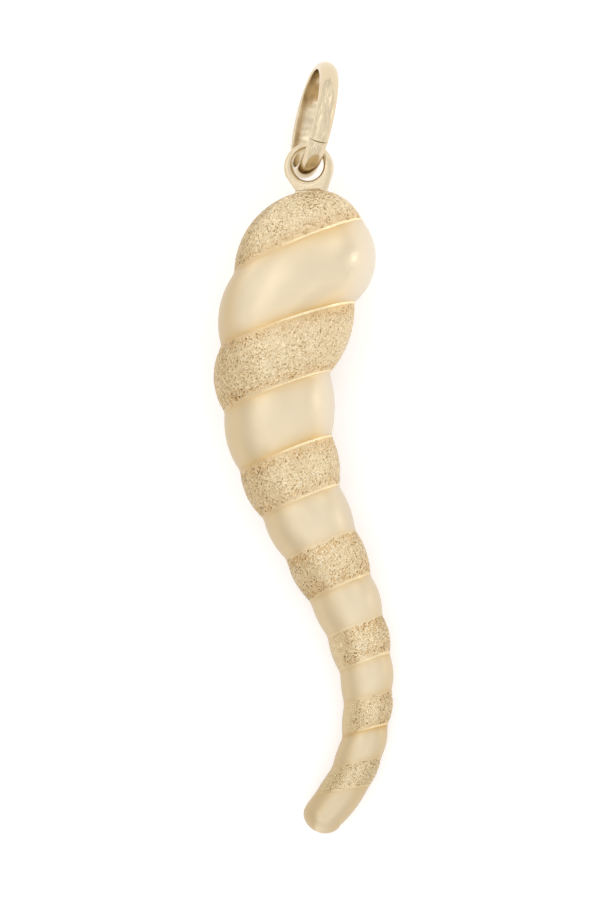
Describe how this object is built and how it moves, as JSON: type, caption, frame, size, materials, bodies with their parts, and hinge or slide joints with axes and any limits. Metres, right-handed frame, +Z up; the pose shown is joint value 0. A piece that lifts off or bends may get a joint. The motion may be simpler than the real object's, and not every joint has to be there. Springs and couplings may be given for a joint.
{
  "type": "horn pendant",
  "caption": "Curved tapering gold horn pendant with slanted ring grooves, textured and satin bands, a soldered eyelet and a jump ring for a chain.",
  "frame": {"origin": "centre of the bounding box's base: on the surface that the pendant lies on, under the middle of its length and width", "axes": "+Y along the pendant's length, from the tip towards the jump ring; +Z up from the surface it lies on; +X to the right as it is seen from above with the jump ring at the top"},
  "size_m": [0.0136, 0.0581, 0.0107],
  "materials": {
    "gold_satin": "yellow gold, satin polished",
    "gold_polished": "yellow gold, polished",
    "gold_textured": "yellow gold, finely pitted sparkling grain"
  },
  "bodies": {
    "root": {"horn": "gold_satin", "jump_ring": "gold_polished"}
  },
  "joints": []
}
